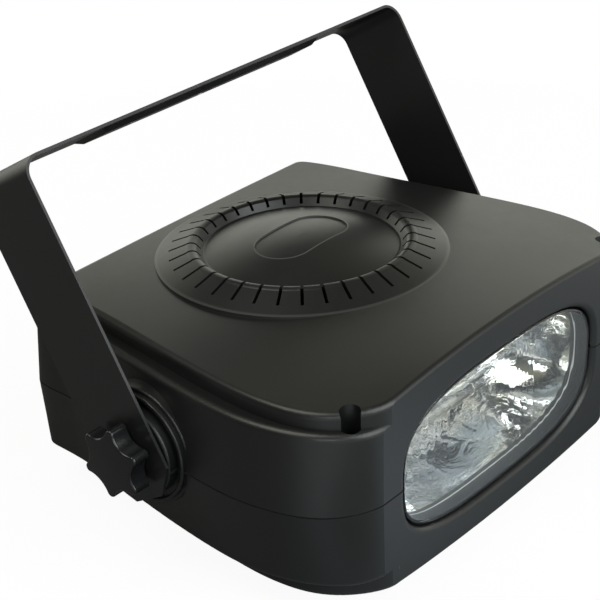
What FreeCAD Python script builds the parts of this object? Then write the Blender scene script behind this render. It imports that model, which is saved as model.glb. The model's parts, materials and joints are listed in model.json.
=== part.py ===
import FreeCAD, Part
import math
import os

V = FreeCAD.Vector

# Xenon stroboscope in a two-shell plastic housing with a tilting U bracket.
# Millimetres. +X is right seen from the lens side, -Y is the lens side, +Z is up.
# Drawn with x = 0 in the middle plane, y = 0 under the vent ring's centre and the feet on z = 0;
# save() moves all of it along Y so that the origin is the middle of the whole thing's base.

# ---- housing ----
EDGE_H = 47.7           # edge of the raised panel over the joint
STAND = 10.3            # the same edge of the underside over the floor
PARTING_Z = EDGE_H + STAND
FRONT_Y = -124.3        # flat fascia
REAR_Y = 82.5           # flat rear face
WALL = 2.5
FASCIA_WALL = 3.0
LEDGE_H = 39.9          # side ledge over the joint
DRAFT = 4.3             # lean of the side up to the ledge
LEDGE_ROUND = 3.2
PANEL_ROUND = 3.0
GROOVE_H = 0.5          # shadow line between the shells
GROOVE_D = 1.0
TONGUE_IN = 1.3         # locating tongue on the lower shell, inset from the outside
TONGUE_T = 0.9
TONGUE_H = 1.5
FIT = 0.05              # clearance of located and turning fits, on the radius
SKIM = 0.4              # stock taken off both flat ends

# half outline at the joint, rear to front
SIDE = [(107.3, REAR_Y), (111.8, REAR_Y - 1.9), (113.7, REAR_Y - 6.5), (114.9, REAR_Y - 24.5), (118.6, 33.0),
        (122.7, 8.0), (126.2, -12.0), (129.2, -32.0), (131.5, -53.0), (131.9, FRONT_Y + 54.3),
        (130.2, FRONT_Y + 40.3), (125.9, FRONT_Y + 24.8), (118.6, FRONT_Y + 12.7),
        (109.7, FRONT_Y + 5.3), (101.5, FRONT_Y + 1.4), (91.0, FRONT_Y)]
# half outline of the raised panel
PANEL = [(91.5, REAR_Y), (96.2, REAR_Y - 2.1), (98.6, REAR_Y - 7.0), (102.6, REAR_Y - 24.5),
         (106.3, 33.0), (110.4, 8.0), (113.8, -12.0), (116.9, -32.0), (119.6, -53.0),
         (120.7, FRONT_Y + 55.3), (120.1, FRONT_Y + 40.3), (117.3, FRONT_Y + 26.8),
         (111.6, FRONT_Y + 15.8), (104.6, FRONT_Y + 8.3), (96.6, FRONT_Y + 2.7), (86.0, FRONT_Y)]
# crown of the raised panel: y, rise over the edge, half width the rise is measured on
CROWN = [(-142.0, 7.6, 90.0), (-100.0, 6.4, 117.5), (-60.0, 5.7, 121.0), (0.0, 4.4, 112.0),
         (60.0, 2.0, 102.5), (104.0, -1.7, 96.0)]
BELLY = 0.78            # bulge of the underside against that of the top

# ---- vent ring ----
RING_TILT = 1.4         # the crown falls to the rear
RING_Z = EDGE_H + 4.4   # ring base over the joint
RING_FOOT_R = 74.5
CREST_R = 55.5
CREST_H = 6.0
DOME_R = 49.2
DOME_RISE = 7.4
SLOTS = 36
SLOT_W = 1.6
SLOT_IN = 51.0
SLOT_OUT = 67.4
RING_SLOPE = 0.36       # fall of the ring's outside
BADGE_L = 56.0          # bare stadium recess
BADGE_W = 30.0
BADGE_DEPTH = 0.8
INTAKES = 24            # slots in the underside
INTAKE_W = 2.4
INTAKE_IN = 24.0
INTAKE_OUT = 46.0

# ---- window, lens and reflector ----
WIN_A = 79.8            # half width and half height of the opening
WIN_B = 37.5
WIN_N = 3.1             # squareness of the outline
LIP_ROUND = 3.2         # rolled lip round the opening
COLLAR = 3.2            # wall of the collar behind the opening
COLLAR_D = 11.0         # depth of the collar from the fascia
LENS_GAP = 0.6
LENS_SET = 2.0          # lens front behind the fascia
LENS_WALL = 2.0
GASKET_T = 0.8
SHEET_T = 1.0
EAR_X = WIN_A - 7.0     # screws holding lens and reflector
EAR_Z = WIN_B - 2.7
EAR_R = 4.5
# bowl of the reflector: depth, and how far its half width and half height lie inside the opening
BOWL = [(0.0, 2.6, 2.6), (9.0, 4.0, 4.5), (18.0, 7.6, 8.6), (27.0, 13.8, 14.5), (35.0, 22.3, 21.5),
        (41.0, 32.8, 28.5)]

# ---- flash tube ----
TUBE_Y = -94.0
TUBE_R = 4.0
TUBE_BORE = 3.0
LEG_X = WIN_A - 17.8
BEND_R = 9.0
WIRE_R = 0.25
LOOPS = 6
LOOP_END = 5.5          # last loop before the bend
LOOP_PITCH = 2.0 * (LEG_X - BEND_R - LOOP_END) / (LOOPS - 1)

# ---- pivot ----
PIVOT_Y = -8.2
PIVOT_H = 3.4           # pivot over the joint
BOSS_R = 30.2           # outer and inner ridge
BOSS_X = 128.6
RIDGE_R = 28.3
RIDGE_X = 131.2
DISH_R = 26.4           # recessed ring between ridge and hub
HUB_R = 23.6
HUB_X = 135.2
STUD_R = 4.0            # M8 stud
NUT_AF = 13.0
NUT_T = 6.5
FIBRE_R = 20.0
FIBRE_T = 0.9
FACE_GAP = 0.1          # between the faces of moving parts

# ---- bracket ----
STRIP_W = 44.0
STRIP_T = 1.5
ARM_TOP = 142.1         # pivot to the outside of the crossbar
ARM_TAIL = 23.4         # arm below the pivot
ARM_CHAMFER = 12.0
CORNER_R = 10.0
TILT = 30.5             # lean to the rear
SWAGE_L = 160.0         # pressed stiffening channel
SWAGE_W = 26.0
SWAGE_D = 2.4
SWAGE_LEAN = 3.5
HANG_R = 5.25
HANG_SIDE_R = 3.25
HANG_SIDE_X = 50.0

# ---- clamp knobs ----
KNOB_R = 18.2
KNOB_VALLEY = 13.2
KNOB_TIP = 2.4
KNOB_LOBES = 6
KNOB_PHASE = -4.0       # first tip's lean out of the vertical
KNOB_T = 9.0
KNOB_DOME = 1.2
KNOB_HUB_R = 8.5
KNOB_HUB = 1.2
WASHER_T = 1.4

# ---- rear panel and its fittings ----
PANEL_A = 66.0
PANEL_B = 28.5
PANEL_T = 2.0
PANEL_LAP = 4.0         # overlap behind the rear wall
POT_X = -38.0
POT_R = 8.2
BUSH_R = 3.5
SHAFT_R = 3.0
DIAL_R = 11.0
DIAL_BACK = 7.0         # back of the dial behind the panel's face
DIAL_T = 15.5
FUSE_X = 4.0
FUSE_R = 6.3
CAP_R = 5.2
GLAND_X = 42.0
GLAND_R = 7.6
CORD_R = 4.0

# ---- inside ----
BOARD_A = 75.0
BOARD_Y = (-66.0, 60.0)
BOARD_H = -30.0         # underside of the board over the joint
BOARD_T = 1.6
POST_X = 66.0
POST_Y = (-48.0, 40.0)
SCREW_R = 1.5
PILLAR_FRONT = (104.4, -113.2)
PILLAR_REAR = (88.0, 66.0)
WELL_R = 4.75
WELL_H = 8.0            # floor of the screw wells over the joint
FEET = [(78.0, -80.0), (75.0, 55.0)]
FOOT_R = 7.5
CAN_X = (-44.0, -14.0)  # flash capacitors
CAN_Y = 22.0
CAN_R = 12.5
CAN_H = 42.0
COIL_AT = (28.0, -46.0)
COIL_R = 9.0
COIL_CORE_R = 6.5
COIL_H = 18.0
RESISTOR_X = 2.0        # ballast resistor
RESISTOR_Y = -24.0
RESISTOR_L = 50.0
RESISTOR_W = 13.0
RESISTOR_LIFT = 8.0
SINK_X = 24.0           # heat sink: face the power switch sits on
SINK_Y = 18.0
SINK_H = 38.0
SINK_BACK = 4.0
SINK_REACH = 18.0
FIN_T = 1.6
FIN_PITCH = 4.4
FINS = 7
DEVICE_Y = 31.4         # fixing hole of the power switch
DEVICE_H = 20.0
TAB_T = 1.3
M3_CLEAR = 1.6
TERMINAL_AT = (-12.0, 46.0)
TERMINAL_W = 11.0
TERMINAL_H = 13.0
POLES = 3
POLE_PITCH = 8.0
NUT_FLOOR = 3.8         # seat of the pivot nuts behind the hub's face
POT_DEPTH = 9.0
SHAFT_L = 18.0          # shaft beyond the rear wall's inside
FUSE_DEPTH = 30.0
FUSE_TUBE_R = 2.6
FLANGE_AF = 19.0        # cord gland
GLAND_DEPTH = 12.0
GLAND_CAP_R = 9.4

PZ = PARTING_Z
PIVOT_Z = PZ + PIVOT_H
ARM_IN = HUB_X + FIBRE_T + FACE_GAP
ARM_OUT = ARM_IN + STRIP_T
WASHER_X = ARM_OUT + FACE_GAP
KNOB_X = WASHER_X + WASHER_T
COLLAR_Y = FRONT_Y + COLLAR_D
FLANGE_Y = COLLAR_Y + GASKET_T
SHEET_Y = FLANGE_Y + LENS_WALL
REAR_IN = REAR_Y - WALL
BOARD_TOP = PZ + BOARD_H + BOARD_T
DATUM_Y = -(FRONT_Y + REAR_IN + DIAL_BACK + DIAL_T) / 2


# ---------------------------------------------------------------- tools
def spline_edge(points, start, end):
    """Smooth curve through the points, arc length as its parameter."""
    knots = [0.0]
    for p, q in zip(points, points[1:]):
        knots.append(knots[-1] + p.distanceToPoint(q))
    curve = Part.BSplineCurve()
    curve.interpolate(Points=points, Parameters=knots, InitialTangent=start, FinalTangent=end,
                      Scale=False)
    return curve.toShape()


def inset_half(points, side, front, rear, stock):
    """Half outline moved in by side, fading to front and rear at the flat ends."""
    moved = []
    last = len(points) - 1
    for i, (x, y) in enumerate(points):
        x0, y0 = points[max(i - 1, 0)]
        x1, y1 = points[min(i + 1, last)]
        tx, ty = x1 - x0, y1 - y0
        size = math.hypot(tx, ty)
        fade = min(1.0, (y - FRONT_Y) / 16.0)
        d = front + (side - front) * fade
        moved.append((x + ty / size * d, y - tx / size * d))
    moved[0] = (points[0][0] - 0.6 * side, REAR_Y + stock - rear)
    moved[1] = (points[1][0] - 0.8 * side, points[1][1] - 0.8 * rear)
    moved[last] = (points[last][0] - 0.4 * front, FRONT_Y - stock + front)
    return moved


def outline(points, z, side=0.0, front=0.0, rear=0.0, stock=0.0):
    """Closed wire: right side, fascia line, left side, rear line."""
    half = inset_half(points, side, front, rear, stock)
    right = [V(x, y, z) for x, y in half]
    left = [V(-x, y, z) for x, y in reversed(half)]
    return Part.Wire([spline_edge(right, V(1, 0, 0), V(-1, 0, 0)),
                      Part.makeLine(right[-1], left[0]),
                      spline_edge(left, V(-1, 0, 0), V(1, 0, 0)),
                      Part.makeLine(left[-1], right[0])])


def slab(points, z0, z1, **insets):
    return Part.Face(outline(points, z0, **insets)).extrude(V(0, 0, z1 - z0))


def lathe(points, origin, axis):
    """Turned solid. points: distance along the axis, radius, corner rounding."""
    side = V(0, 0, 1) if abs(axis.z) < 0.5 else V(1, 0, 0)
    radial = (side - axis * side.dot(axis)).normalize()
    corners = [(origin + axis * p[0] + radial * p[1], p[2] if len(p) > 2 else 0.0) for p in points]
    edges = rounded_edges(corners)
    return Part.Face(Part.Wire(edges)).revolve(origin, axis, 360)


def rounded_edges(corners):
    """Closed polygon with rounded corners, given as (point, rounding)."""
    count = len(corners)
    starts, ends, arcs = [], [], []
    for i, (p, r) in enumerate(corners):
        a = (corners[i - 1][0] - p).normalize()
        b = (corners[(i + 1) % count][0] - p).normalize()
        half = math.acos(max(-1.0, min(1.0, a.dot(b)))) / 2
        if r <= 0:
            starts.append(p)
            ends.append(p)
            arcs.append(None)
            continue
        run = r / math.tan(half)
        mid = (a + b).normalize()
        centre = p + mid * (r / math.sin(half))
        starts.append(p + a * run)
        ends.append(p + b * run)
        arcs.append(Part.Arc(p + a * run, centre - mid * r, p + b * run).toShape())
    edges = []
    for i in range(count):
        if arcs[i]:
            edges.append(arcs[i])
        nxt = starts[(i + 1) % count]
        if ends[i].distanceToPoint(nxt) > 1e-6:
            edges.append(Part.makeLine(ends[i], nxt))
    return edges


def tube_x(r, x0, x1, y=PIVOT_Y, z=None):
    return Part.makeCylinder(r, x1 - x0, V(x0, y, PIVOT_Z if z is None else z), V(1, 0, 0))


def tube_y(r, y0, y1, x, z=None):
    return Part.makeCylinder(r, y1 - y0, V(x, y0, PZ if z is None else z), V(0, 1, 0))


def tube_z(r, z0, z1, x, y):
    return Part.makeCylinder(r, z1 - z0, V(x, y, z0))


def block(x0, x1, y0, y1, z0, z1):
    return Part.makeBox(x1 - x0, y1 - y0, z1 - z0, V(x0, y0, z0))


def hexagon(af, thickness, origin, axis):
    r = af / math.sqrt(3)
    pts = [V(r * math.cos(math.pi * k / 3), r * math.sin(math.pi * k / 3), 0) for k in range(7)]
    prism = Part.Face(Part.makePolygon(pts)).extrude(V(0, 0, thickness))
    prism.Placement = FreeCAD.Placement(origin, FreeCAD.Rotation(V(0, 0, 1), axis))
    return prism


def rounded_rect_y(a, b, r, y0, y1, z=None):
    """Rounded plate about the rear panel's axis, from y0 to y1."""
    z = PZ if z is None else z
    pts = [(V(-a, y0, z - b), r), (V(a, y0, z - b), r), (V(a, y0, z + b), r), (V(-a, y0, z + b), r)]
    return Part.Face(Part.Wire(rounded_edges(pts))).extrude(V(0, y1 - y0, 0))


def mirror_x(shape):
    return shape.mirror(V(0, 0, 0), V(1, 0, 0))


def mirror_down(shape):
    return shape.mirror(V(0, 0, PZ), V(0, 0, 1))


def pair(shape):
    return [shape, mirror_x(shape)]


def quad(shape):
    """The shape and its images across the middle plane and the joint."""
    return pair(shape) + pair(mirror_down(shape))


def join(shapes):
    return shapes[0].multiFuse(shapes[1:]) if len(shapes) > 1 else shapes[0]


# ---------------------------------------------------------------- housing
def crown_block(sink, bulge):
    """Everything under the crowned surface of the raised panel."""
    rows = []
    for y, full, width in CROWN:
        rise = full * bulge
        apex = PZ + EDGE_H + rise - sink
        xs = [-150.0 + 25.0 * k for k in range(13)]
        rows.append([V(x, y, apex - rise * (x / width) ** 2) for x in xs])
    surface = Part.BSplineSurface()
    surface.interpolate(rows)
    return surface.toShape().extrude(V(0, 0, -(EDGE_H + 12.0)))


def half_outside(bulge):
    """Upper half: leaning side with a rounded ledge, crowned panel raised on it."""
    side = Part.makeLoft([outline(SIDE, PZ - 1.0, stock=SKIM),
                          outline(SIDE, PZ + LEDGE_H, side=DRAFT, stock=SKIM)], True, True)
    rim = [e for e in side.Edges if e.BoundBox.ZMin > PZ + LEDGE_H - 1.0]
    side = side.makeFillet(LEDGE_ROUND, rim)
    panel = slab(PANEL, PZ - 1.0, PZ + 80.0, stock=SKIM).common(crown_block(0.0, bulge)).Solids[0]
    edge = [e for e in panel.Edges if e.BoundBox.ZMin > PZ + EDGE_H - 6.0]
    panel = panel.makeFillet(PANEL_ROUND, edge)
    ends = block(-200, 200, FRONT_Y, REAR_Y, -100, 300)
    return side.fuse(panel).common(ends)


def half_inside(bulge):
    side = Part.makeLoft([outline(SIDE, PZ - 1.0, side=WALL, front=FASCIA_WALL, rear=WALL),
                          outline(SIDE, PZ + LEDGE_H - WALL, side=WALL + DRAFT,
                                  front=FASCIA_WALL, rear=WALL)], True, True)
    panel = slab(PANEL, PZ - 1.0, PZ + 80.0, side=WALL, front=FASCIA_WALL, rear=WALL)
    return side.fuse(panel.common(crown_block(WALL, bulge)))


def boss_outside():
    """Pivot boss: two ridges round a recessed ring and a flat hub."""
    return lathe([(112.0, 0.0), (112.0, BOSS_R), (BOSS_X, BOSS_R, 0.9), (BOSS_X, RIDGE_R),
                  (RIDGE_X, RIDGE_R, 0.9), (RIDGE_X, DISH_R, 0.5), (BOSS_X + 0.3, DISH_R),
                  (BOSS_X + 0.3, HUB_R), (HUB_X, HUB_R, 1.2), (HUB_X, 0.0)],
                 V(0, PIVOT_Y, PIVOT_Z), V(1, 0, 0))


def boss_inside():
    deep = HUB_X - NUT_FLOOR
    shallow = BOSS_X - WALL
    return lathe([(104.0, 0.0), (104.0, BOSS_R - WALL), (shallow, BOSS_R - WALL),
                  (shallow, HUB_R - WALL), (deep, HUB_R - WALL), (deep, 0.0)],
                 V(0, PIVOT_Y, PIVOT_Z), V(1, 0, 0))


def nut_sleeve():
    deep = HUB_X - NUT_FLOOR
    sleeve = tube_x(11.0, deep - 11.0, deep + 0.2)
    return sleeve.cut(hexagon(NUT_AF + 0.1, 12.0, V(deep - 12.0, PIVOT_Y, PIVOT_Z), V(1, 0, 0)))


def ring_frame(shape):
    """Stand a shape made about +Z on the crown at the vent ring."""
    shape = shape.copy()
    shape.rotate(V(0, 0, 0), V(1, 0, 0), -RING_TILT)
    shape.translate(V(0, 0, PZ + RING_Z))
    return shape


def cap_height(r, top):
    """Height of the dome at radius r, from its top."""
    big = (DOME_R ** 2 + DOME_RISE ** 2) / (2 * DOME_RISE)
    return top - (big - math.sqrt(big * big - r * r))


def profile_solid(edges):
    return Part.Face(Part.Wire(edges)).revolve(V(0, 0, 0), V(0, 0, 1), 360)


def vent_ring(sink, foot):
    """Raised ring, gutter and dome; sink lowers them for the inside of the wall."""
    top = CREST_H + 3.0 - sink
    valley = cap_height(DOME_R, top)
    outer = V(CREST_R + 3.0, 0, CREST_H - sink - 0.8)
    crest = V(CREST_R, 0, CREST_H - sink)
    inner = V(CREST_R - 2.4, 0, CREST_H - sink - 0.9)
    toe = V(foot, 0, outer.z - (foot - outer.x) * RING_SLOPE)
    low = toe.z - 6.0
    gutter = V(DOME_R + 0.9, 0, valley)
    edge = V(DOME_R, 0, valley)
    mid = V(DOME_R / 2, 0, cap_height(DOME_R / 2, top))
    return ring_frame(profile_solid([
        Part.makeLine(V(0, 0, low), V(foot, 0, low)), Part.makeLine(V(foot, 0, low), toe),
        Part.makeLine(toe, outer), Part.Arc(outer, crest, inner).toShape(),
        Part.makeLine(inner, gutter), Part.makeLine(gutter, edge),
        Part.Arc(edge, mid, V(0, 0, top)).toShape(), Part.makeLine(V(0, 0, top), V(0, 0, low))]))


def radial_slots(count, width, r_in, r_out, z0, z1):
    slots = []
    for i in range(count):
        slot = Part.makeBox(r_out - r_in, width, z1 - z0, V(r_in, -width / 2, z0))
        slot.rotate(V(0, 0, 0), V(0, 0, 1), i * 360.0 / count)
        slots.append(slot)
    return slots


def badge_recess():
    r = BADGE_W / 2
    h = BADGE_L / 2 - r
    rim = Part.Wire([Part.makeLine(V(-h, -r, 0), V(h, -r, 0)),
                     Part.Arc(V(h, -r, 0), V(h + r, 0, 0), V(h, r, 0)).toShape(),
                     Part.makeLine(V(h, r, 0), V(-h, r, 0)),
                     Part.Arc(V(-h, r, 0), V(-h - r, 0, 0), V(-h, -r, 0)).toShape()])
    top = CREST_H + 3.0 - BADGE_DEPTH
    edge = V(DOME_R, 0, cap_height(DOME_R, top))
    mid = V(DOME_R / 2, 0, cap_height(DOME_R / 2, top))
    floor = profile_solid([Part.makeLine(V(0, 0, -10), V(DOME_R, 0, -10)),
                           Part.makeLine(V(DOME_R, 0, -10), edge),
                           Part.Arc(edge, mid, V(0, 0, top)).toShape(),
                           Part.makeLine(V(0, 0, top), V(0, 0, -10))])
    return ring_frame(Part.Face(rim).extrude(V(0, 0, 20)).cut(floor))


def oval(a, b, y, count=32):
    """Window outline, grown or shrunk, in the plane at y."""
    pts = []
    for i in range(count):
        t = 2 * math.pi * i / count
        c, s = math.cos(t), math.sin(t)
        k = (abs(c) ** WIN_N + abs(s) ** WIN_N) ** (-1.0 / WIN_N)
        pts.append(V(a * c * k, y, PZ + b * s * k))
    curve = Part.BSplineCurve()
    curve.interpolate(Points=pts, PeriodicFlag=True)
    return Part.Wire([curve.toShape()])


def oval_block(grow, y0, y1):
    """Straight block of the window outline, moved out by grow."""
    return Part.Face(oval(WIN_A + grow, WIN_B + grow, y0)).extrude(V(0, y1 - y0, 0))


def window_cutter():
    """Opening with a rolled lip, plus all that lies before the fascia."""
    front = block(-140, 140, FRONT_Y - 12.0, FRONT_Y, PZ - 70, PZ + 70)
    tool = front.fuse(oval_block(0.0, FRONT_Y - 4.0, COLLAR_Y + 1.0))
    lip = [e for e in tool.Edges if abs(e.BoundBox.YMin - FRONT_Y) < 0.01
           and abs(e.BoundBox.YMax - FRONT_Y) < 0.01 and e.BoundBox.XMax < WIN_A + 1.0]
    return tool.makeFillet(LIP_ROUND, lip)


def ear_posts(r, y0, y1):
    """Cylinders along Y at the four lens screws."""
    return quad(tube_y(r, y0, y1, EAR_X, PZ + EAR_Z))


def panel_channel():
    """Groove in both shells that holds the rear panel."""
    lap = 3.0
    body = rounded_rect_y(PANEL_A + 3.0, PANEL_B + 3.0, 6.0, REAR_IN - PANEL_T - 3.5, REAR_IN + 0.3)
    body = body.cut(rounded_rect_y(PANEL_A + FIT, PANEL_B + FIT, 3.0, REAR_IN - PANEL_T, REAR_IN + 1))
    return body.cut(rounded_rect_y(PANEL_A - lap, PANEL_B - lap, 3.0, REAR_IN - 12.0, REAR_IN + 1))


def rear_opening():
    return rounded_rect_y(PANEL_A - PANEL_LAP, PANEL_B - PANEL_LAP, 3.0, REAR_IN - 0.5, REAR_Y + 1)


def groove():
    ring = slab(SIDE, PZ - GROOVE_H / 2, PZ + GROOVE_H / 2, side=-0.5, front=-0.5, rear=-0.5)
    core = slab(SIDE, PZ - 1.0, PZ + 1.0, side=GROOVE_D, front=GROOVE_D, rear=GROOVE_D)
    boss = tube_x(BOSS_R, 100.0, 140.0)
    return ring.cut(join([core] + pair(boss)))


def rim_band(inset, thickness, height):
    """Band standing on the joint, that far inside the outline."""
    def prism(d, z0, z1):
        return slab(SIDE, z0, z1, side=d, front=d, rear=d)
    band = prism(inset, PZ, PZ + height).cut(prism(inset + thickness, PZ - 1.0, PZ + height + 1.0))
    return band.cut(join(pair(boss_inside())))


def tongue():
    return rim_band(TONGUE_IN, TONGUE_T, TONGUE_H)


def rebate():
    """Seat for the tongue, open to the inside."""
    return rim_band(TONGUE_IN - FIT, FASCIA_WALL - TONGUE_IN + 0.6, TONGUE_H + FIT)


def front_pillars(r, z0, z1):
    return pair(tube_z(r, z0, z1, *PILLAR_FRONT))


def rear_pillars(r, z0, z1):
    return pair(tube_z(r, z0, z1, *PILLAR_REAR))


def shell_parts():
    outside = half_outside(1.0)
    inside = half_inside(1.0)
    bosses = pair(boss_outside())
    hollows = pair(boss_inside())
    upper = block(-200, 200, -200, 200, PZ, PZ + 100)
    lower = block(-200, 200, -200, 200, PZ - 100, PZ)

    collar = oval_block(COLLAR, FRONT_Y + 1.5, COLLAR_Y)
    lens_posts = join([collar] + ear_posts(EAR_R, FRONT_Y + 1.5, FLANGE_Y))
    fittings = join([lens_posts, panel_channel()] + pair(nut_sleeve()))

    window = window_cutter()
    pilots = ear_posts(SCREW_R - 0.25, FLANGE_Y - 8.0, FLANGE_Y + 1)
    studs = pair(tube_x(STUD_R + FIT, 112.0, 140.0))
    shared = join([window, rear_opening(), groove()] + pilots + studs)

    # upper shell
    skin = join([outside, vent_ring(0.0, RING_FOOT_R)] + bosses)
    cavity = join([inside, vent_ring(WALL, RING_FOOT_R - 5.0)] + hollows)
    pillars = join(front_pillars(6.8, PZ, PZ + EDGE_H + 0.3) + rear_pillars(5.5, PZ, PZ + EDGE_H - 0.7))
    shell = skin.cut(cavity).fuse(join([fittings, pillars]).common(outside.fuse(join(bosses))))
    slots = [ring_frame(s) for s in radial_slots(SLOTS, SLOT_W, SLOT_IN, SLOT_OUT, -4.5, 9.5)]
    wells = front_pillars(WELL_R, PZ + WELL_H, PZ + 80.0) + front_pillars(1.75, PZ - 1, PZ + 20)
    blind = rear_pillars(SCREW_R, PZ - 1, PZ + 14.5)
    shell = shell.common(upper).cut(shared).cut(rebate())
    top = shell.cut(join(slots + wells + blind + [badge_recess()]))

    # lower shell
    belly = mirror_down(half_outside(BELLY))
    skin = join([belly] + bosses)
    cavity = join([mirror_down(half_inside(BELLY))] + hollows)
    under = belly.fuse(join(bosses))
    base = PZ - EDGE_H - 0.3
    pillars = join(front_pillars(5.5, base, PZ) + rear_pillars(6.8, base, PZ))
    posts = []
    for y in POST_Y:
        posts += pair(tube_z(3.5, base - 2.0, PZ + BOARD_H, POST_X, y))
    shell = skin.cut(cavity).fuse(join([fittings, pillars] + posts).common(under))
    wells = rear_pillars(WELL_R, PZ - 80.0, PZ - WELL_H) + rear_pillars(1.75, PZ - 20, PZ + 1)
    blind = front_pillars(SCREW_R, PZ - 14.5, PZ + 1)
    for y in POST_Y:
        blind += pair(tube_z(SCREW_R - 0.25, PZ + BOARD_H - 9.0, PZ + BOARD_H + 1, POST_X, y))
    for x, y in FEET:
        blind += pair(tube_z(2.5, PZ - 70.0, PZ - 30.0, x, y))
    intakes = radial_slots(INTAKES, INTAKE_W, INTAKE_IN, INTAKE_OUT, base - 12.0, base + 4.0)
    shell = shell.common(lower).fuse(tongue()).cut(join([shared] + intakes + wells + blind))
    return top, shell


def feet(shell):
    """Rubber feet, their stems pulled through the lower shell."""
    result = []
    for x, y in FEET:
        cone = lathe([(0.0, 0.0), (0.0, FOOT_R, 1.0), (12.0, FOOT_R + 0.8), (12.0, 0.0)],
                     V(x, y, 0), V(0, 0, 1))
        inner = PZ - EDGE_H - 7.0
        barb = lathe([(0.0, 0.0), (inner, 2.5), (inner + 9.6, 2.5), (inner + 9.6, 3.6),
                      (inner + 11.6, 1.6), (inner + 11.6, 0.0)], V(x, y, 0), V(0, 0, 1))
        whole = cone.fuse(barb)
        for foot in pair(whole):
            rest = foot.cut(shell)
            result.append(max(rest.Solids, key=lambda s: -s.BoundBox.ZMin))
    return result


# ---------------------------------------------------------------- optics
def lens():
    """Clear moulded tub with a flange trapped behind the collar."""
    body = oval_block(-LENS_GAP, FRONT_Y + LENS_SET, FLANGE_Y + 0.5)
    edge = [e for e in body.Edges if e.BoundBox.YMax < FRONT_Y + LENS_SET + 0.1]
    body = body.makeFillet(1.6, edge)
    flange = join([oval_block(COLLAR + 0.6, FLANGE_Y, SHEET_Y)] + ear_posts(EAR_R + 0.5, FLANGE_Y, SHEET_Y))
    hollow = oval_block(-LENS_GAP - LENS_WALL, FRONT_Y + LENS_SET + LENS_WALL, SHEET_Y + 1)
    holes = ear_posts(1.6, FLANGE_Y - 1, SHEET_Y + 1)
    return body.fuse(flange).cut(join([hollow] + holes))


def lens_gasket():
    return oval_block(COLLAR, COLLAR_Y, FLANGE_Y).cut(oval_block(0.8, COLLAR_Y - 1, FLANGE_Y + 1)) \
        .cut(join(ear_posts(EAR_R, COLLAR_Y - 1, FLANGE_Y + 1)))


def bowl_solid(grow, lead, tail):
    def ring(row, lead):
        t, a, b = row
        return oval(WIN_A - a + grow, WIN_B - b + grow, SHEET_Y + t - lead)
    body = Part.makeLoft([ring(BOWL[0], lead)] + [ring(row, 0.0) for row in BOWL[1:]], True, False)
    if tail:
        body = body.fuse(Part.Face(ring(BOWL[-1], 0.0)).extrude(V(0, tail, 0)))
    return body


def reflector():
    """Pressed bright bowl with a flat flange and holes for the tube's legs."""
    flange = join([oval_block(COLLAR + 0.6, SHEET_Y, SHEET_Y + SHEET_T)]
                  + ear_posts(EAR_R + 0.5, SHEET_Y, SHEET_Y + SHEET_T))
    body = flange.fuse(bowl_solid(SHEET_T, 0.0, SHEET_T))
    legs = pair(tube_y(TUBE_R + 2.0, TUBE_Y, TUBE_Y + 40.0, LEG_X))
    holes = ear_posts(1.6, SHEET_Y - 1, SHEET_Y + SHEET_T + 1)
    return body.cut(join([bowl_solid(0.0, 0.5, 0.0)] + legs + holes))


def tube_path(r):
    """Straight discharge length with both legs turned to the rear."""
    run = LEG_X - BEND_R
    parts = [tube_x(r, -run, run, TUBE_Y, PZ)]
    for sign in (1, -1):
        bend = Part.makeTorus(BEND_R, r, V(0, 0, 0), V(0, 0, 1), -180, 180, 90)
        bend.rotate(V(0, 0, 0), V(0, 0, 1), -90)
        bend.translate(V(run, TUBE_Y + BEND_R, PZ))
        leg = tube_y(r, TUBE_Y + BEND_R, -66.0, LEG_X)
        parts += [s if sign > 0 else mirror_x(s) for s in (bend, leg)]
    return join(parts)


def flash_tube():
    return tube_path(TUBE_R).cut(tube_path(TUBE_BORE))


def tube_electrodes():
    cap = tube_y(TUBE_R + 0.6, -70.0, -58.0, LEG_X).cut(tube_y(TUBE_R, -71.0, -66.0, LEG_X))
    rod = tube_y(1.0, -84.0, -65.0, LEG_X).fuse(tube_y(2.0, -86.5, -83.5, LEG_X))
    pin = tube_y(0.8, -58.5, -52.0, LEG_X)
    return pair(join([cap, rod, pin]))


def tube_grommets():
    ring = lathe([(-82.5, TUBE_R), (-82.5, TUBE_R + 2.0), (-76.0, TUBE_R + 2.0), (-76.0, TUBE_R)],
                 V(LEG_X, 0, PZ), V(0, 1, 0))
    return pair(ring)


def trigger_wire():
    """Fine wire looped round the tube at intervals and run along its underside."""
    reach = TUBE_R + WIRE_R
    half = (LOOPS - 1) / 2.0 * LOOP_PITCH
    parts = [tube_x(WIRE_R, -half - 5.0, half + 5.0, TUBE_Y, PZ - reach)]
    for i in range(LOOPS):
        loop = Part.makeTorus(reach, WIRE_R, V(-half + i * LOOP_PITCH, TUBE_Y, PZ), V(1, 0, 0))
        parts.append(loop)
    return join(parts)


def tube_holders():
    """Moulded blocks on the board that grip the tube's end caps."""
    body = block(LEG_X - 8, LEG_X + 8, BOARD_Y[0], BOARD_Y[0] + 9.0, BOARD_TOP, PZ + 8.0)
    body = body.cut(tube_y(TUBE_R + 0.6, BOARD_Y[0] - 1, BOARD_Y[0] + 8.0, LEG_X))
    body = body.cut(tube_y(0.8, BOARD_Y[0], BOARD_Y[0] + 20.0, LEG_X))
    return pair(body)


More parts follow.
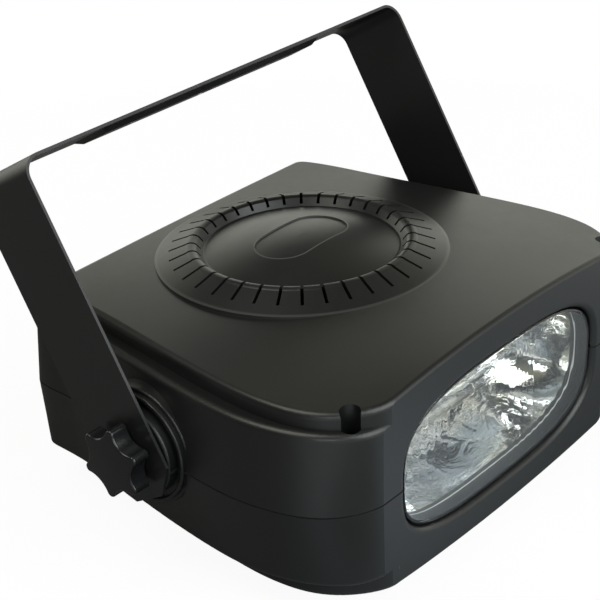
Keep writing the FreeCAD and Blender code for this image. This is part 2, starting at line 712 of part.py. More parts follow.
def screw(length, shank, head_r, head_h, origin, axis):
    """Pan-head screw: the head's underside at the origin, the shank along the axis."""
    body = lathe([(-head_h, 0.0), (-head_h, head_r, 0.7), (0.0, head_r), (0.0, shank),
                  (length - shank, shank), (length, 0.4), (length, 0.0)], origin, axis)
    cross = [Part.makeBox(head_r * 1.2, 0.7, 1.2, V(-head_r * 0.6, -0.35, -0.6)),
             Part.makeBox(0.7, head_r * 1.2, 1.2, V(-0.35, -head_r * 0.6, -0.6))]
    tool = join(cross)
    tool.Placement = FreeCAD.Placement(origin - axis * head_h, FreeCAD.Rotation(V(0, 0, 1), axis))
    return body.cut(tool)


def reflector_screws():
    return quad(screw(9.5, SCREW_R - 0.25, 2.8, 1.8, V(EAR_X, SHEET_Y + SHEET_T, PZ + EAR_Z),
                      V(0, -1, 0)))


def housing_screws():
    front = screw(22.0, SCREW_R, 3.2, 2.4, V(PILLAR_FRONT[0], PILLAR_FRONT[1], PZ + WELL_H),
                  V(0, 0, -1))
    rear = screw(22.0, SCREW_R, 3.2, 2.4, V(PILLAR_REAR[0], PILLAR_REAR[1], PZ - WELL_H),
                 V(0, 0, 1))
    return pair(front) + pair(rear)


# ---------------------------------------------------------------- electronics
def circuit_board():
    board = block(-BOARD_A, BOARD_A, BOARD_Y[0], BOARD_Y[1], PZ + BOARD_H, BOARD_TOP)
    holes = []
    for y in POST_Y:
        holes += pair(tube_z(1.6, PZ + BOARD_H - 1, BOARD_TOP + 1, POST_X, y))
    return board.cut(join(holes))


def board_screws():
    result = []
    for y in POST_Y:
        result += pair(screw(8.0, SCREW_R - 0.25, 2.8, 1.8, V(POST_X, y, BOARD_TOP), V(0, 0, -1)))
    return result


def capacitors():
    """Two flash capacitors, crimped at the base and scored on top."""
    cans = []
    for x in CAN_X:
        can = lathe([(0.0, 0.0), (0.0, CAN_R, 0.8), (3.0, CAN_R), (3.8, CAN_R - 0.8), (4.6, CAN_R),
                     (CAN_H, CAN_R, 1.2), (CAN_H, CAN_R - 2.0), (CAN_H - 0.5, CAN_R - 2.0),
                     (CAN_H - 0.5, 0.0)], V(x, CAN_Y, BOARD_TOP), V(0, 0, 1))
        cans.append(can)
    return cans


def trigger_coil():
    """Winding between two cheeks on a ferrite core."""
    cheek, pin = 2.0, 3.0
    return lathe([(0.0, 0.0), (0.0, COIL_R), (cheek, COIL_R), (cheek, COIL_CORE_R),
                  (COIL_H - cheek, COIL_CORE_R), (COIL_H - cheek, COIL_R), (COIL_H, COIL_R),
                  (COIL_H, pin), (COIL_H + cheek, pin), (COIL_H + cheek, 0.0)],
                 V(*COIL_AT, BOARD_TOP), V(0, 0, 1))


def ballast_resistor():
    """Ceramic power resistor held off the board on two formed legs."""
    low = BOARD_TOP + RESISTOR_LIFT
    body = block(RESISTOR_X, RESISTOR_X + RESISTOR_L, RESISTOR_Y, RESISTOR_Y + RESISTOR_W,
                 low, low + RESISTOR_W)
    legs = [block(x, x + 1.0, RESISTOR_Y + 3.5, RESISTOR_Y + RESISTOR_W - 3.5, BOARD_TOP, low + 1.0)
            for x in (RESISTOR_X + 5.0, RESISTOR_X + RESISTOR_L - 6.0)]
    return join([body] + legs)


def heat_sink():
    """Finned extrusion standing on the board."""
    high = BOARD_TOP + SINK_H
    depth = (FINS - 1) * FIN_PITCH + FIN_T
    base = block(SINK_X, SINK_X + SINK_BACK, SINK_Y, SINK_Y + depth, BOARD_TOP, high)
    fins = [block(SINK_X + SINK_BACK - 1.0, SINK_X + SINK_REACH, y, y + FIN_T, BOARD_TOP, high)
            for y in [SINK_Y + FIN_PITCH * k for k in range(FINS)]]
    hole = tube_x(M3_CLEAR, SINK_X - 1, SINK_X + SINK_BACK + 1, DEVICE_Y, BOARD_TOP + DEVICE_H)
    return join([base] + fins).cut(hole)


def power_switch():
    """Tab-mounted power device on the heat sink, with its fixing screw."""
    x, y, z = SINK_X, DEVICE_Y, BOARD_TOP
    tab = block(x - TAB_T, x, y - 5.0, y + 5.0, z + 8.0, z + DEVICE_H + 4.0)
    tab = tab.cut(tube_x(M3_CLEAR, x - 3, x + 1, y, z + DEVICE_H))
    body = block(x - 4.6, x - 1.0, y - 5.0, y + 5.0, z + 6.0, z + 15.5)
    legs = [block(x - 3.0, x - 2.4, y + dy - 0.4, y + dy + 0.4, z, z + 6.5) for dy in (-2.54, 0, 2.54)]
    return join([tab, body] + legs)


def power_screw():
    return screw(4.0, 1.45, 2.8, 1.8, V(SINK_X - TAB_T, DEVICE_Y, BOARD_TOP + DEVICE_H), V(1, 0, 0))


def terminal_block():
    """Three-way screw terminal."""
    x0, y0 = TERMINAL_AT
    mid = y0 + TERMINAL_W / 2
    body = block(x0, x0 + POLES * POLE_PITCH, y0, y0 + TERMINAL_W, BOARD_TOP, BOARD_TOP + TERMINAL_H)
    cuts = []
    for k in range(POLES):
        x = x0 + POLE_PITCH * (k + 0.5)
        cuts.append(tube_z(2.4, BOARD_TOP + 5.0, BOARD_TOP + TERMINAL_H + 1, x, mid))
        cuts.append(block(x - 2.0, x + 2.0, mid, y0 + TERMINAL_W + 1, BOARD_TOP + 1.5, BOARD_TOP + 5.5))
    return body.cut(join(cuts))


# ---------------------------------------------------------------- rear fittings
def rear_panel():
    plate = rounded_rect_y(PANEL_A, PANEL_B, 3.0, REAR_IN - PANEL_T, REAR_IN)
    holes = [tube_y(r, REAR_IN - 5, REAR_IN + 5, x)
             for r, x in ((BUSH_R, POT_X), (FUSE_R, FUSE_X), (GLAND_R, GLAND_X))]
    return plate.cut(join(holes))


def ring_nut(af, bore, t, y, x):
    nut = hexagon(af, t, V(x, y, PZ), V(0, 1, 0))
    return nut.cut(tube_y(bore, y - 1, y + t + 1, x))


def speed_pot():
    back = REAR_IN - PANEL_T
    body = tube_y(POT_R, back - POT_DEPTH, back, POT_X).fuse(tube_y(BUSH_R, back - 1, REAR_IN + 6.0, POT_X))
    lugs = [block(POT_X + dx - 0.8, POT_X + dx + 0.8, back - 5.0, back - 4.4, PZ - 15.0, PZ - 5.0)
            for dx in (-5.0, 0.0, 5.0)]
    return join([body] + lugs).cut(tube_y(SHAFT_R + FIT, back - POT_DEPTH + 2.0, REAR_IN + 7.0, POT_X))


def pot_shaft():
    back = REAR_IN - PANEL_T
    shaft = tube_y(SHAFT_R, back - POT_DEPTH + 2.1, REAR_IN + SHAFT_L, POT_X)
    flat = block(POT_X - 4, POT_X + 4, REAR_IN + SHAFT_L / 2, REAR_IN + SHAFT_L + 1, PZ + 1.5, PZ + 4)
    return shaft.cut(flat)


def speed_knob():
    """Ribbed dial knob with a raised pointer line."""
    y0 = REAR_IN + DIAL_BACK
    face = DIAL_T - 0.5
    body = lathe([(0.0, 0.0), (0.0, DIAL_R + 1.5, 0.5), (2.0, DIAL_R + 1.5, 0.5), (3.0, DIAL_R - 0.6),
                  (face, DIAL_R - 1.6, 1.2), (face, 0.0)], V(POT_X, y0, PZ), V(0, 1, 0))
    flutes = []
    for i in range(18):
        flute = tube_y(0.9, y0 + 3.6, y0 + 16.0, POT_X + DIAL_R - 0.7)
        flute.rotate(V(POT_X, 0, PZ), V(0, 1, 0), i * 20.0 + 10.0)
        flutes.append(flute)
    pointer = block(POT_X - 0.7, POT_X + 0.7, y0 + face - 0.2, y0 + DIAL_T, PZ + 2.5, PZ + 8.5)
    return body.cut(join(flutes)).fuse(pointer).cut(pot_shaft())


def fuse_holder():
    deep = REAR_IN - FUSE_DEPTH
    body = lathe([(-FUSE_DEPTH, 0.0), (-FUSE_DEPTH, FUSE_R - 0.8), (3.0 - FUSE_DEPTH, FUSE_R),
                  (0.0, FUSE_R), (0.0, 8.5), (3.0, 8.5, 0.8), (3.0, 0.0)],
                 V(FUSE_X, REAR_IN, PZ), V(0, 1, 0))
    body = body.cut(tube_y(CAP_R + FIT, deep + 2.0, REAR_IN + 4, FUSE_X))
    tag = block(FUSE_X - 2.0, FUSE_X + 2.0, deep - 6.0, deep + 1.0, PZ - 0.4, PZ + 0.4)
    return body.fuse(tag)


def fuse_cap():
    body = lathe([(-10.0, 0.0), (-10.0, CAP_R), (3.1, CAP_R), (3.1, 7.2), (9.0, 6.8, 0.8), (9.0, 0.0)],
                 V(FUSE_X, REAR_IN, PZ), V(0, 1, 0))
    slot = block(FUSE_X - 5.0, FUSE_X + 5.0, REAR_IN + 7.2, REAR_IN + 10, PZ - 0.8, PZ + 0.8)
    return body.cut(slot).cut(tube_y(FUSE_TUBE_R, REAR_IN - 11, REAR_IN - 4, FUSE_X))


def fuse():
    glass = tube_y(FUSE_TUBE_R - 0.2, REAR_IN - 24.0, REAR_IN - 4.0, FUSE_X)
    ends = [tube_y(FUSE_TUBE_R, y, y + 5.0, FUSE_X) for y in (REAR_IN - 24.0, REAR_IN - 9.0)]
    return join([glass] + ends)


def cable_gland():
    """Gland body with a domed clamping nut; open bore for a 8 mm cord."""
    body = tube_y(GLAND_R, REAR_IN - GLAND_DEPTH, REAR_IN + 1, GLAND_X)
    flange = hexagon(FLANGE_AF, 5.0, V(GLAND_X, REAR_IN, PZ), V(0, 1, 0))
    return body.fuse(flange).cut(tube_y(CORD_R, REAR_IN - 20, REAR_IN + 10, GLAND_X))


def gland_cap():
    """Domed clamping nut with gripping flats."""
    cap = lathe([(5.0, CORD_R), (5.0, GLAND_CAP_R), (11.0, GLAND_CAP_R), (16.0, 6.2, 1.0), (16.0, CORD_R)],
                V(GLAND_X, REAR_IN, PZ), V(0, 1, 0))
    return cap.common(hexagon(17.6, 30.0, V(GLAND_X, REAR_IN, PZ), V(0, 1, 0)))


# ---------------------------------------------------------------- pivot and bracket
def pivot_nuts():
    deep = HUB_X - NUT_FLOOR
    nut = hexagon(NUT_AF, NUT_T, V(deep - NUT_T, PIVOT_Y, PIVOT_Z), V(1, 0, 0))
    cone = lathe([(0.0, 0.0), (0.0, 6.6), (0.9, 7.6), (NUT_T - 0.9, 7.6), (NUT_T, 6.6), (NUT_T, 0.0)],
                 V(deep - NUT_T, PIVOT_Y, PIVOT_Z), V(1, 0, 0))
    return pair(nut.common(cone).cut(tube_x(STUD_R + FIT, 100.0, 140.0)))


def friction_washers():
    disc = tube_x(FIBRE_R, HUB_X, HUB_X + FIBRE_T).cut(tube_x(STUD_R + FIT, 130.0, 140.0))
    return pair(disc)


def frustum(length, width, lean, top, depth):
    """Block with sides leaning in as it goes down."""
    wires = []
    for k in (0, 1):
        a = length / 2 - lean * k
        b = width / 2 - lean * k
        z = top - depth * k
        wires.append(Part.makePolygon([V(-a, -b, z), V(a, -b, z), V(a, b, z), V(-a, b, z), V(-a, -b, z)]))
    return Part.makeLoft(wires, True, True)


def bracket():
    """U of folded strip: octagonal arm ends, pressed channel and hanging holes."""
    out, top, tail = ARM_OUT, ARM_TOP, -ARM_TAIL
    inn, under = ARM_IN, ARM_TOP - STRIP_T
    path = [(V(-out, 0, tail), 0), (V(-out, 0, top), CORNER_R), (V(out, 0, top), CORNER_R),
            (V(out, 0, tail), 0), (V(inn, 0, tail), 0), (V(inn, 0, under), CORNER_R - STRIP_T),
            (V(-inn, 0, under), CORNER_R - STRIP_T), (V(-inn, 0, tail), 0)]
    strip = Part.Face(Part.Wire(rounded_edges(path))).extrude(V(0, STRIP_W, 0))
    strip.translate(V(0, -STRIP_W / 2, 0))
    strip = strip.fuse(frustum(SWAGE_L, SWAGE_W, SWAGE_LEAN, under + 0.1, SWAGE_D + 0.1))
    cuts = [frustum(SWAGE_L - 2.0, SWAGE_W - 2.0, SWAGE_LEAN, top, SWAGE_D),
            tube_x(STUD_R + FIT, -150, 150, 0.0, 0.0), tube_z(HANG_R, top - 10, top + 10, 0, 0)]
    cuts += pair(tube_z(HANG_SIDE_R, top - 10, top + 10, HANG_SIDE_X, 0))
    half, c = STRIP_W / 2, ARM_CHAMFER
    for s in (1, -1):
        corner = Part.makePolygon([V(-150, s * (half - c), tail), V(-150, s * (half + 1), tail + c + 1),
                                   V(-150, s * (half + 1), tail - 1), V(-150, s * (half - c), tail - 1),
                                   V(-150, s * (half - c), tail)])
        cuts.append(Part.Face(corner).extrude(V(300, 0, 0)))
    strip = strip.cut(join(cuts))
    strip.rotate(V(0, 0, 0), V(1, 0, 0), -TILT)
    strip.translate(V(0, PIVOT_Y, PIVOT_Z))
    return strip


def star_outline(x):
    """Six-pointed grip: rounded tips joined by hollow flanks."""
    tip_c = KNOB_R - KNOB_TIP
    c = math.cos(math.pi / KNOB_LOBES)
    flank = ((tip_c ** 2 + KNOB_VALLEY ** 2 - 2 * tip_c * KNOB_VALLEY * c - KNOB_TIP ** 2)
             / (2 * KNOB_TIP - 2 * KNOB_VALLEY + 2 * tip_c * c))
    hollow_c = KNOB_VALLEY + flank
    edges = []

    def at(r, a):
        return V(x, PIVOT_Y + r * math.sin(a), PIVOT_Z + r * math.cos(a))

    def touch(a_tip, a_hollow):
        p, q = at(tip_c, a_tip), at(hollow_c, a_hollow)
        return p + (q - p).normalize() * KNOB_TIP

    step = math.pi / KNOB_LOBES
    for i in range(KNOB_LOBES):
        a = 2 * step * i + math.radians(KNOB_PHASE)
        before, after = touch(a, a - step), touch(a, a + step)
        edges.append(Part.Arc(before, at(KNOB_R, a), after).toShape())
        nxt = touch(a + 2 * step, a + step)
        edges.append(Part.Arc(after, at(KNOB_VALLEY, a + step), nxt).toShape())
    return Part.Wire(edges)


def star_knob():
    back = KNOB_X + KNOB_HUB
    star = Part.Face(star_outline(back)).extrude(V(KNOB_T + KNOB_DOME, 0, 0))
    big = (KNOB_R ** 2 + KNOB_DOME ** 2) / (2 * KNOB_DOME)
    ball = Part.makeSphere(big, V(back + KNOB_T + KNOB_DOME - big, PIVOT_Y, PIVOT_Z))
    star = star.common(ball)
    rim = [e for e in star.Edges if e.BoundBox.XMin > back + KNOB_T - 1.0]
    star = star.makeFillet(1.0, rim)
    hub = tube_x(KNOB_HUB_R, KNOB_X, back + 1.0)
    return star.fuse(hub).cut(tube_x(STUD_R, KNOB_X - 1, back + 6.5))


def knob_stud():
    x0 = HUB_X - NUT_FLOOR - NUT_T - 4.0
    x1 = KNOB_X + KNOB_HUB + 6.5
    return lathe([(x0, 0.0), (x0, STUD_R - 0.8), (x0 + 0.8, STUD_R), (x1, STUD_R), (x1, 0.0)],
                 V(0, PIVOT_Y, PIVOT_Z), V(1, 0, 0))


def knob_washer():
    return tube_x(KNOB_HUB_R, WASHER_X, WASHER_X + WASHER_T).cut(tube_x(STUD_R + 0.2, 130, 150))


# ---------------------------------------------------------------- nodes
def build():
    top, bottom = shell_parts()
    knob, stud, washer = star_knob(), knob_stud(), knob_washer()
    return {
        "top_shell": [top], "bottom_shell": [bottom], "feet": feet(bottom),
        "rear_panel": [rear_panel()], "housing_screws": housing_screws(),
        "lens": [lens()], "lens_gasket": [lens_gasket()], "reflector": [reflector()],
        "reflector_screws": reflector_screws(), "flash_tube": [flash_tube()],
        "tube_electrodes": tube_electrodes(), "tube_grommets": tube_grommets(),
        "trigger_wire": [trigger_wire()], "tube_holders": tube_holders(),
        "circuit_board": [circuit_board()], "board_screws": board_screws(),
        "flash_capacitors": capacitors(), "trigger_coil": [trigger_coil()],
        "ballast_resistor": [ballast_resistor()], "heat_sink": [heat_sink()],
        "power_switch": [power_switch()], "power_switch_screw": [power_screw()],
        "terminal_block": [terminal_block()],
        "speed_pot": [speed_pot()], "pot_nut": [ring_nut(10.0, BUSH_R, 2.5, REAR_IN, POT_X)],
        "pot_shaft": [pot_shaft()], "speed_knob": [speed_knob()],
        "fuse_holder": [fuse_holder()],
        "fuse_nut": [ring_nut(16.0, FUSE_R, 3.0, REAR_IN - PANEL_T - 3.0, FUSE_X)],
        "fuse_cap": [fuse_cap()], "fuse": [fuse()],
        "cable_gland": [cable_gland()], "gland_cap": [gland_cap()],
        "gland_nut": [ring_nut(FLANGE_AF, GLAND_R, 3.5, REAR_IN - PANEL_T - 3.5, GLAND_X)],
        "pivot_nuts": pivot_nuts(), "friction_washers": friction_washers(),
        "bracket": [bracket()],
        "right_star_knob": [knob], "left_star_knob": [mirror_x(knob)],
        "right_knob_stud": [stud], "left_knob_stud": [mirror_x(stud)],
        "right_knob_washer": [washer], "left_knob_washer": [mirror_x(washer)],
    }


def save(nodes):
    os.makedirs("parts", exist_ok=True)
    for name, shapes in nodes.items():
        solids = []
        for shape in shapes:
            solids += shape.translated(V(0, DATUM_Y, 0)).Solids
        shape = solids[0] if len(solids) == 1 else Part.makeCompound(solids)
        if not shape.isValid():
            print("not valid:", name)
        shape.exportStep("parts/" + name + ".step")


save(build())
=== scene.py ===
import json
import math

import bmesh
import bpy
from bpy.props import FloatProperty, FloatVectorProperty, IntProperty, PointerProperty
from mathutils import Matrix, Vector


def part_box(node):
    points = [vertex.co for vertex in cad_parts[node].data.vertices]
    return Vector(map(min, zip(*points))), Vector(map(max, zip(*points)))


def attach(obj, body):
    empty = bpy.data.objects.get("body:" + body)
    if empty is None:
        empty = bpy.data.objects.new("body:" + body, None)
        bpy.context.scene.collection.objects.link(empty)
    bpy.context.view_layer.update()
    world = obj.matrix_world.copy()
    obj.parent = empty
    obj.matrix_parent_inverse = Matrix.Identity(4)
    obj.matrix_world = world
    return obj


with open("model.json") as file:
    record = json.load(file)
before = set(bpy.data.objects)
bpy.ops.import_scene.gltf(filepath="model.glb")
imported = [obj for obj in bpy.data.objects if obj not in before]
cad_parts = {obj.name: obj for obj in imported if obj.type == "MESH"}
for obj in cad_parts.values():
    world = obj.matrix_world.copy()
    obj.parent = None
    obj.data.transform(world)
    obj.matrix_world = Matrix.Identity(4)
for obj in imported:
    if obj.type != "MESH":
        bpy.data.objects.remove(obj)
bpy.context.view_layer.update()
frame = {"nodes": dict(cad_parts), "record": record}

bl_info = {
    "name": "Xenon stroboscope",
    "version": (1, 0, 0),
    "blender": (4, 5, 0),
    "location": "3D View > Sidebar > Stroboscope",
    "description": "Finishes, dial print and studio for a xenon stroboscope with a tilting bracket",
    "category": "Object",
}

NODES = frame["nodes"]
VENT_RING_Y = 0.0109      # middle of the vent ring and of the bare recess on its dome
VENT_FOOT_R = 0.0738      # radius of the ring's foot
VENT_FOOT_Z = 0.100       # the ring's foot lies above this height
RECESS_Z = 0.112          # and the bare recess above this one
JOINT_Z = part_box("top_shell")[0].z      # joint between the two shells
BRACKET_LEAN = math.radians(30.5)       # lean of the bracket to the rear
FULL_TURN = 2.0 * math.pi


# ------------------------------------------------------------ shader sums
def plug(tree, port, value):
    """Link a Value to a socket, or set the socket to a plain number or colour."""
    if isinstance(value, Value):
        tree.links.new(value.socket, port)
    elif port.type == "RGBA" and len(value) == 3:
        port.default_value = (*value, 1.0)
    else:
        port.default_value = value


def add_node(tree, kind, settings=None, inputs=None, output=0):
    """Any node: its settings first, then the values or links of its sockets."""
    node = tree.nodes.new(kind)
    for key, value in (settings or {}).items():
        setattr(node, key, value)
    for key, value in (inputs or {}).items():
        plug(tree, node.inputs[key], value)
    return Value(tree, node.outputs[output])


def blend_colours(tree, factor, first, second):
    """First colour where the factor is 0, second where it is 1."""
    return add_node(tree, "ShaderNodeMix", {"data_type": "RGBA"}, {0: factor, 6: first, 7: second}, 2)


class Value:
    """A number in a node tree. Every operator adds the Math node that works it out."""

    def __init__(self, tree, socket):
        self.tree = tree
        self.socket = socket

    def math(self, operation, *values):
        return add_node(self.tree, "ShaderNodeMath", {"operation": operation}, dict(enumerate(values)))

    def __add__(self, other):
        return self.math("ADD", self, other)

    def __radd__(self, other):
        return self.math("ADD", other, self)

    def __sub__(self, other):
        return self.math("SUBTRACT", self, other)

    def __rsub__(self, other):
        return self.math("SUBTRACT", other, self)

    def __mul__(self, other):
        return self.math("MULTIPLY", self, other)

    def __rmul__(self, other):
        return self.math("MULTIPLY", other, self)

    def __pow__(self, other):
        return self.math("POWER", self, other)

    def __abs__(self):
        return self.math("ABSOLUTE", self)

    def most(self, other):
        return self.math("MAXIMUM", self, other)

    def wave(self):
        return self.math("SINE", self)

    def part(self):
        return self.math("FRACT", self)

    def above(self, limit):
        return self.math("GREATER_THAN", self, limit)

    def ramp(self, low, high):
        """0 up to low, 1 from high on, and a soft step between them."""
        return add_node(self.tree, "ShaderNodeMapRange", {"interpolation_type": "SMOOTHSTEP"},
                        {"Value": self, "From Min": low, "From Max": high}, "Result")


class Finish:
    """One material: a Principled shader and the nodes that feed it."""

    def __init__(self, name, colour, **fixed):
        self.material = bpy.data.materials.new(name)
        self.material.use_nodes = True
        self.material.diffuse_color = (*colour, 1.0)
        self.tree = self.material.node_tree
        self.shader = self.tree.nodes["Principled BSDF"]
        self.shaded = Value(self.tree, self.shader.outputs[0])
        self.surface = self.tree.nodes["Material Output"].inputs["Surface"]
        self.place = self.node("ShaderNodeTexCoord", output="Object")
        self.set("Base Color", colour)
        for port, value in fixed.items():
            self.set(port.replace("_", " "), value)

    def node(self, kind, settings=None, inputs=None, output=0):
        return add_node(self.tree, kind, settings, inputs, output)

    def set(self, port, value):
        plug(self.tree, self.shader.inputs[port], value)

    def along(self, x=0.0, y=0.0, z=0.0, of="Object"):
        """Distance along a direction, in metres, or the part of the normal that lies along it."""
        start = self.node("ShaderNodeTexCoord", output=of)
        return self.node("ShaderNodeVectorMath", {"operation": "DOT_PRODUCT"},
                         {0: start, 1: (x, y, z)}, "Value")

    def away(self, centre, scale=(1.0, 1.0, 1.0)):
        """Distance from a point, with each axis weighed by scale."""
        moved = self.node("ShaderNodeVectorMath", {"operation": "SUBTRACT"}, {0: self.place, 1: centre})
        weighed = self.node("ShaderNodeVectorMath", {"operation": "MULTIPLY"}, {0: moved, 1: scale})
        return self.node("ShaderNodeVectorMath", {"operation": "LENGTH"}, {0: weighed}, "Value")

    def noise(self, scale, detail=2.0, rough=0.5, stretch=None):
        where = self.place
        if stretch:
            where = self.node("ShaderNodeVectorMath", {"operation": "MULTIPLY"}, {0: where, 1: stretch})
        return self.node("ShaderNodeTexNoise", None,
                         {"Vector": where, "Scale": scale, "Detail": detail, "Roughness": rough})

    def mix(self, factor, first, second):
        return blend_colours(self.tree, factor, first, second)

    def mix_shaders(self, factor, first, second):
        """First shader where the factor is 0, second where it is 1."""
        return self.node("ShaderNodeMixShader", None, {0: factor, 1: first, 2: second})

    def relief(self, height, depth, strength=1.0):
        """Fine height over the surface, depth in metres."""
        bump = self.node("ShaderNodeBump", None, {"Height": height, "Distance": depth, "Strength": strength})
        self.set("Normal", bump)
        return bump

    def clear(self, shader, colour):
        """Close a clear finish, whose shadow lets the light through in a colour."""
        shadow = self.node("ShaderNodeLightPath", output="Is Shadow Ray")
        through = self.node("ShaderNodeBsdfTransparent", None, {"Color": colour})
        plug(self.tree, self.surface, self.mix_shaders(shadow, shader, through))

    def wear(self, *nodes):
        """Put this finish on CAD nodes or on new pieces."""
        for item in nodes:
            piece = NODES[item] if isinstance(item, str) else item
            if not piece.material_slots:
                piece.data.materials.append(self.material)
            for slot in piece.material_slots:
                slot.material = self.material


def shade(colour, factor):
    return tuple(min(c * factor, 1.0) for c in colour)


def piece_from(name, mesh_builder, body):
    """A new mesh object that rides on a body."""
    mesh = bpy.data.meshes.new(name)
    shape = bmesh.new()
    mesh_builder(shape)
    bmesh.ops.recalc_face_normals(shape, faces=shape.faces)
    shape.to_mesh(mesh)
    shape.free()
    piece = bpy.data.objects.new(name, mesh)
    bpy.context.scene.collection.objects.link(piece)
    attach(piece, body)
    return piece


def metal(name, colour, rough, grain=1500.0, stretch=None, depth=0.00001):
    """Bare or plated metal with fine tool marks and a little tarnish."""
    finish = Finish(name, colour, Metallic=1.0)
    tarnish = finish.noise(140.0, 4.0, 0.6)
    marks = finish.noise(grain, 2.0, 0.6, stretch)
    finish.set("Base Color", finish.mix(tarnish.ramp(0.35, 0.8), colour, shade(colour, 0.72)))
    finish.set("Roughness", rough + (tarnish - 0.5) * 0.14 + (marks - 0.5) * 0.12)
    finish.relief(marks, depth, 0.5)
    return finish


def plastic(name, colour, rough, grain=1800.0, depth=0.00001, change=0.18):
    """Moulded plastic or rubber with a slow change of gloss and a fine skin."""
    finish = Finish(name, colour)
    flow = finish.noise(45.0, 3.0)
    skin = finish.noise(grain, 2.0, 0.6)
    finish.set("Base Color", finish.mix(flow, shade(colour, 1.0 - change), shade(colour, 1.0 + change)))
    finish.set("Roughness", rough + (flow - 0.5) * 0.12 + (skin - 0.5) * 0.08)
    finish.relief(skin, depth, 0.6)
    return finish


# ------------------------------------------------------------ settings
def colour_prop(name, what, default):
    return FloatVectorProperty(name=name, description=what, default=default, subtype="COLOR",
                               size=3, min=0.0, max=1.0)


def length_prop(name, what, default):
    return FloatProperty(name=name, description=what, default=default, unit="LENGTH",
                         subtype="DISTANCE", precision=6)


def share_prop(name, what, default):
    return FloatProperty(name=name, description=what, default=default, subtype="FACTOR",
                         min=0.0, max=1.0)


class HousingLook(bpy.types.PropertyGroup):
    colour: colour_prop("Plastic", "Colour of the moulded shells", (0.0062, 0.0069, 0.0067))
    gloss: share_prop("Roughness", "Roughness of the shells' satin skin", 0.36)
    grain: length_prop("Grain", "Size of the eroded mould grain", 0.0005)
    grain_depth: length_prop("Grain depth", "Depth of the eroded mould grain", 0.00002)
    dust: share_prop("Dust", "Dust lying on the upper faces", 0.25)
    recess_length: length_prop("Recess length", "Length of the bare recess on the dome", 0.056)
    recess_width: length_prop("Recess width", "Width of the bare recess on the dome", 0.030)


class WindowLook(bpy.types.PropertyGroup):
    tint: colour_prop("Tint", "Colour of the clear lens", (0.965, 0.98, 0.98))
    wall: colour_prop("Wall", "Smoky colour of the lens's side wall at the front", (0.004, 0.004, 0.004))
    root: colour_prop("Root", "Colour of the side wall where it meets the flange", (0.032, 0.032, 0.029))
    glint: colour_prop("Glint", "Bright line along the root of the side wall", (0.62, 0.64, 0.62))
    rib: length_prop("Ribs", "Spacing of the faint ribs in the lens", 0.0055)
    ring: length_prop("Rings", "Spacing of the fine rings round the side wall", 0.0013)
    index: FloatProperty(name="Index", description="Refractive index of the lens", default=1.49)
    gasket: colour_prop("Gasket", "Colour of the foam gasket", (0.01, 0.01, 0.01))


class ReflectorLook(bpy.types.PropertyGroup):
    bright: colour_prop("Bright", "Colour of the anodised sheet", (0.92, 0.94, 0.95))
    aged: colour_prop("Aged", "Colour of the sheet where its finish has dulled", (0.84, 0.82, 0.74))
    gloss: share_prop("Roughness", "Roughness of the bowl", 0.02)
    ripple: length_prop("Ripple", "Height of the pressing's slow waves", 0.0042)
    streak: length_prop("Streaks", "Height of the fine drawn lines", 0.00004)


class TubeLook(bpy.types.PropertyGroup):
    glass: colour_prop("Glass", "Colour of the quartz tube", (0.97, 0.98, 0.99))
    electrode: colour_prop("Electrode", "Colour of the electrode caps", (0.45, 0.44, 0.42))
    wire: colour_prop("Wire", "Colour of the trigger wire", (0.66, 0.63, 0.56))


class BoardLook(bpy.types.PropertyGroup):
    mask: colour_prop("Board", "Colour of the solder mask", (0.018, 0.10, 0.035))
    sleeve: colour_prop("Sleeve", "Colour of the capacitor sleeves", (0.012, 0.018, 0.06))


class RearLook(bpy.types.PropertyGroup):
    panel: colour_prop("Panel", "Colour of the rear panel's paint", (0.012, 0.012, 0.012))
    print: colour_prop("Print", "Colour of the dial's printed scale", (0.80, 0.80, 0.78))
    steps: IntProperty(name="Steps", description="Long ticks round the dial", default=11, min=2)
    tick: length_prop("Tick", "Length of a long tick", 0.0026)
    line: length_prop("Line", "Width of a printed line", 0.00045)
    number: length_prop("Number", "Height of the printed numbers", 0.0034)


class BracketLook(bpy.types.PropertyGroup):
    paint: colour_prop("Paint", "Colour of the bracket's powder paint", (0.0105, 0.0105, 0.011))
    gloss: share_prop("Roughness", "Roughness of the paint", 0.33)
    peel: length_prop("Peel", "Size of the paint's orange peel", 0.0011)
    peel_depth: length_prop("Peel depth", "Depth of the paint's orange peel", 0.00002)


class KnobLook(bpy.types.PropertyGroup):
    colour: colour_prop("Knob", "Colour of the star knobs", (0.0070, 0.0078, 0.0082))
    gloss: share_prop("Roughness", "Roughness of the star knobs", 0.22)


